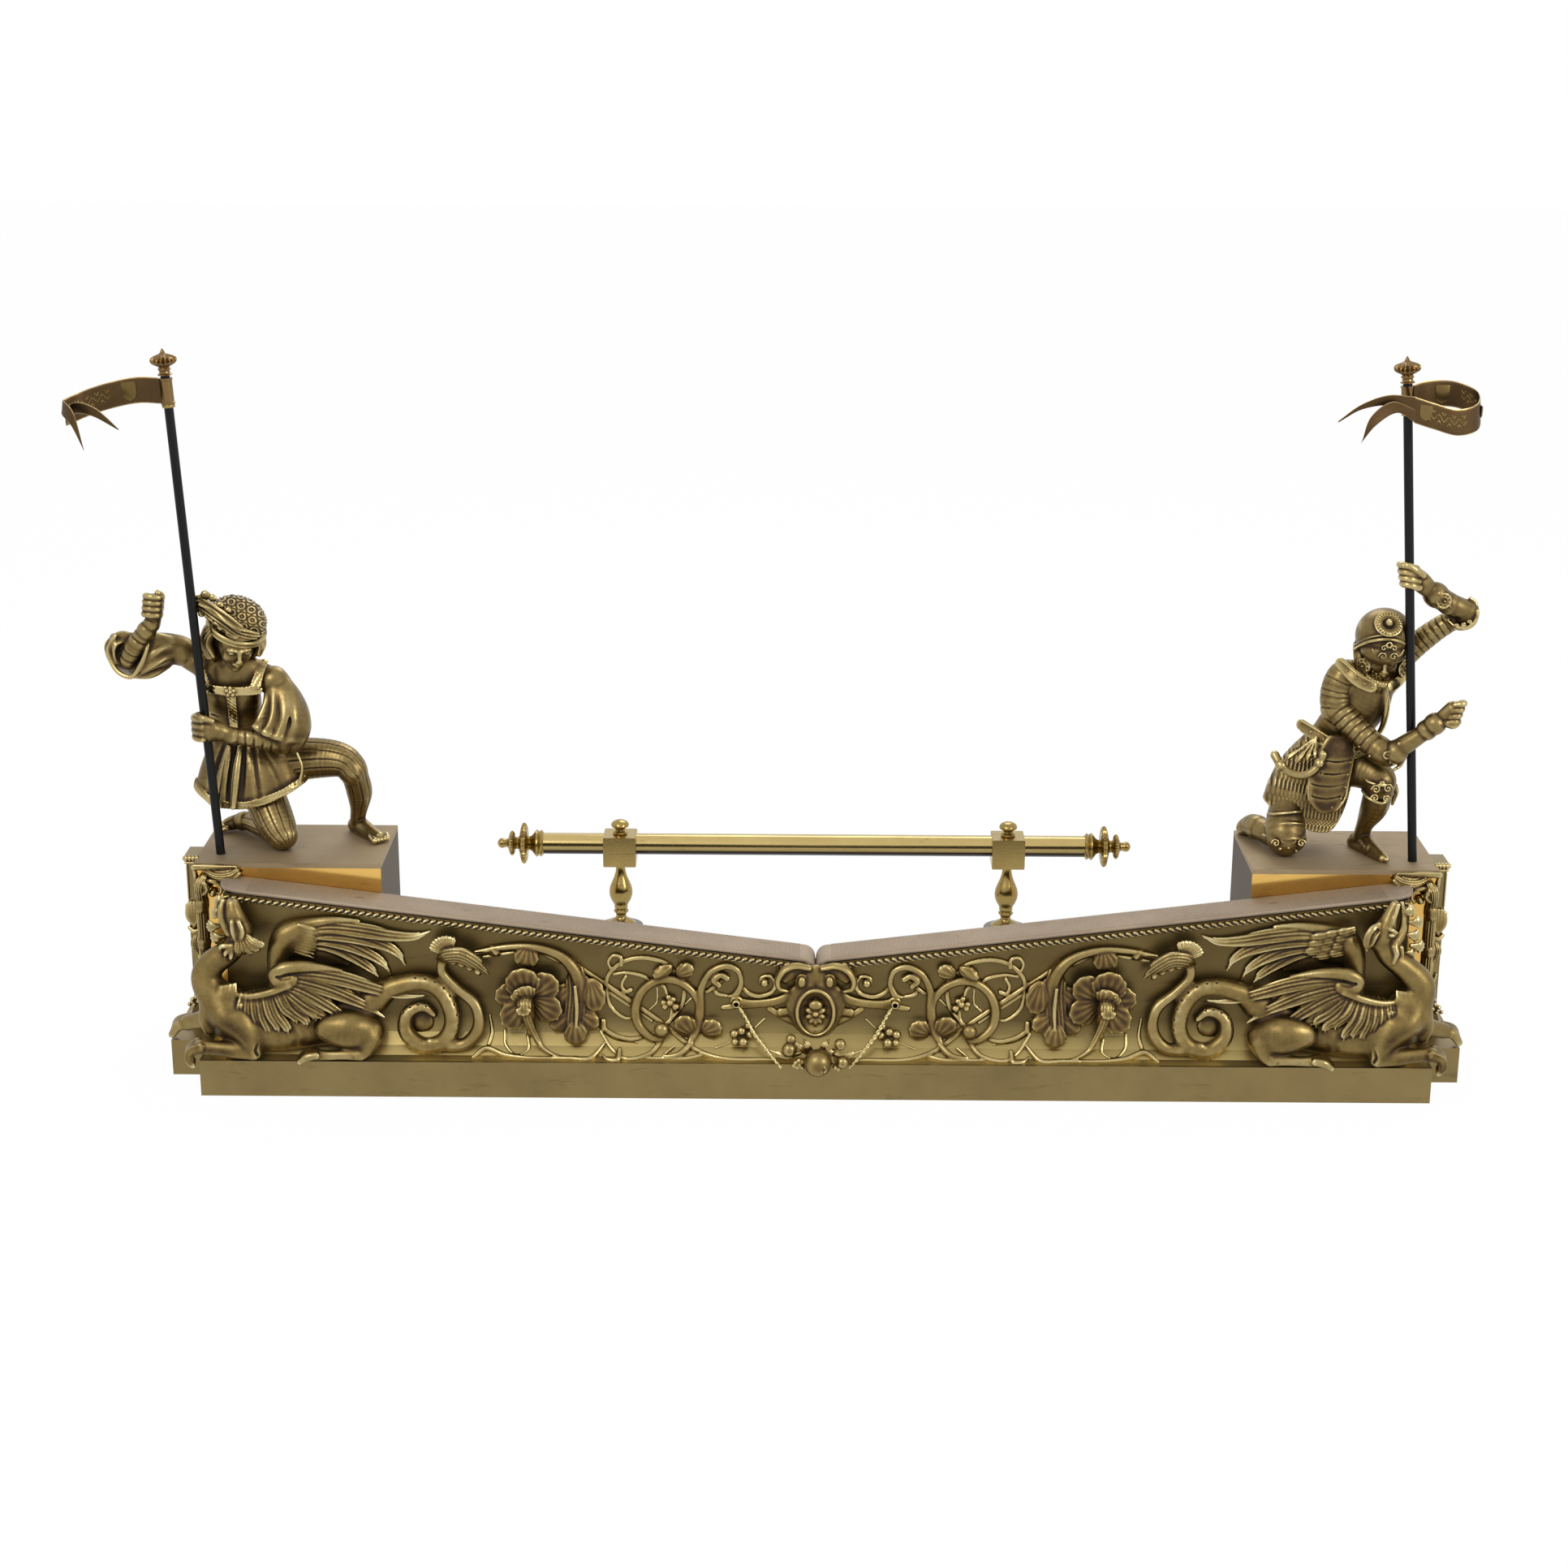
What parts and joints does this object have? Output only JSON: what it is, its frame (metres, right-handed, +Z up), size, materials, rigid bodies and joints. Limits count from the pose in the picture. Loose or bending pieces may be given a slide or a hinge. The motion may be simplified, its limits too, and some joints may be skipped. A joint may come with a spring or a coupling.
{
  "type": "fireplace surround",
  "caption": "Cast brass hearth fender with dragon and scrollwork panel, pedestals with kneeling pole bearers under pennons, and a tool rest on turned uprights.",
  "frame": {"origin": "centre of the front bottom edge of the base step, on the hearth", "axes": "+X to the right seen from the front, +Y back towards the fire, +Z up"},
  "size_m": [1.6904, 0.5441, 0.8921],
  "materials": {
    "brass": "aged polished brass with dark patina in the recesses",
    "dark_brass": "aged brass, brown patina",
    "rough": "matte rough-cast brass",
    "iron": "black iron",
    "stone": "mottled grey, matte"
  },
  "bodies": {
    "fender": {"base_front": "brass", "base_ledge": "brass", "pedestal_steps": "brass", "front_panel_left": "dark_brass", "front_panel_right": "dark_brass", "wing_ends": "dark_brass", "back_plate_left": "iron", "back_plate_right": "iron", "back_strap": "iron", "strap_screws": "iron", "top_bar_left": "rough", "top_bar_right": "rough", "rope_left": "brass", "rope_right": "brass", "pedestal_sheets_left": "brass", "pedestal_sheets_right": "brass", "pedestal_top_left": "rough", "pedestal_top_right": "rough", "corner_post_left": "brass", "corner_post_right": "brass", "corner_column_left": "brass", "corner_column_right": "brass", "dragon_left": "brass", "dragon_right": "brass", "dragon_wings_left": "brass", "dragon_wings_right": "brass", "dragon_tail_left": "brass", "dragon_tail_right": "brass", "scrollwork_left": "brass", "scrollwork_right": "brass", "flower_left": "brass", "flower_right": "brass", "cartouche": "dark_brass", "cartouche_boss": "brass", "fruit_swag": "brass", "squire_body": "brass", "squire_head": "brass", "squire_cap": "brass", "squire_arms": "brass", "squire_kneeling_leg": "brass", "squire_forward_leg": "brass", "knight_body": "dark_brass", "knight_helmet": "brass", "knight_face": "brass", "knight_arms": "brass", "knight_kneeling_leg": "brass", "knight_forward_leg": "brass", "knight_tasset": "brass", "figure_studs": "iron", "figure_nuts": "iron", "pole_sockets": "iron"},
    "left_pole": {"pole_left": "iron", "pole_knobs_left": "brass"},
    "left_pennon": {"pennon_left": "brass"},
    "right_pole": {"pole_right": "iron", "pole_knobs_right": "brass"},
    "right_pennon": {"pennon_right": "brass"},
    "tool_rest": {"rail_tube": "brass", "rail_uprights": "brass", "rail_feet": "stone"}
  },
  "joints": [
    {"name": "left_pole_lift", "type": "slide", "parent": "fender", "child": "left_pole", "axis": [-0.0541, 0, 0.9985], "range_m": [0, 0.16]},
    {"name": "right_pole_lift", "type": "slide", "parent": "fender", "child": "right_pole", "axis": [-0.0819, 0, 0.9966], "range_m": [0, 0.3]},
    {"name": "left_pennon_turn", "type": "hinge", "parent": "left_pole", "child": "left_pennon", "pos_m": [-0.76955, 0.136, 0.84116], "axis": [-0.0541, 0, 0.9985], "continuous": true},
    {"name": "right_pennon_turn", "type": "hinge", "parent": "right_pole", "child": "right_pennon", "pos_m": [0.6912, 0.136, 0.84006], "axis": [-0.0819, 0, 0.9966], "continuous": true},
    {"name": "tool_rest_lift", "type": "slide", "parent": "fender", "child": "tool_rest", "axis": [0, 0, 1], "range_m": [0, 0.2]}
  ]
}
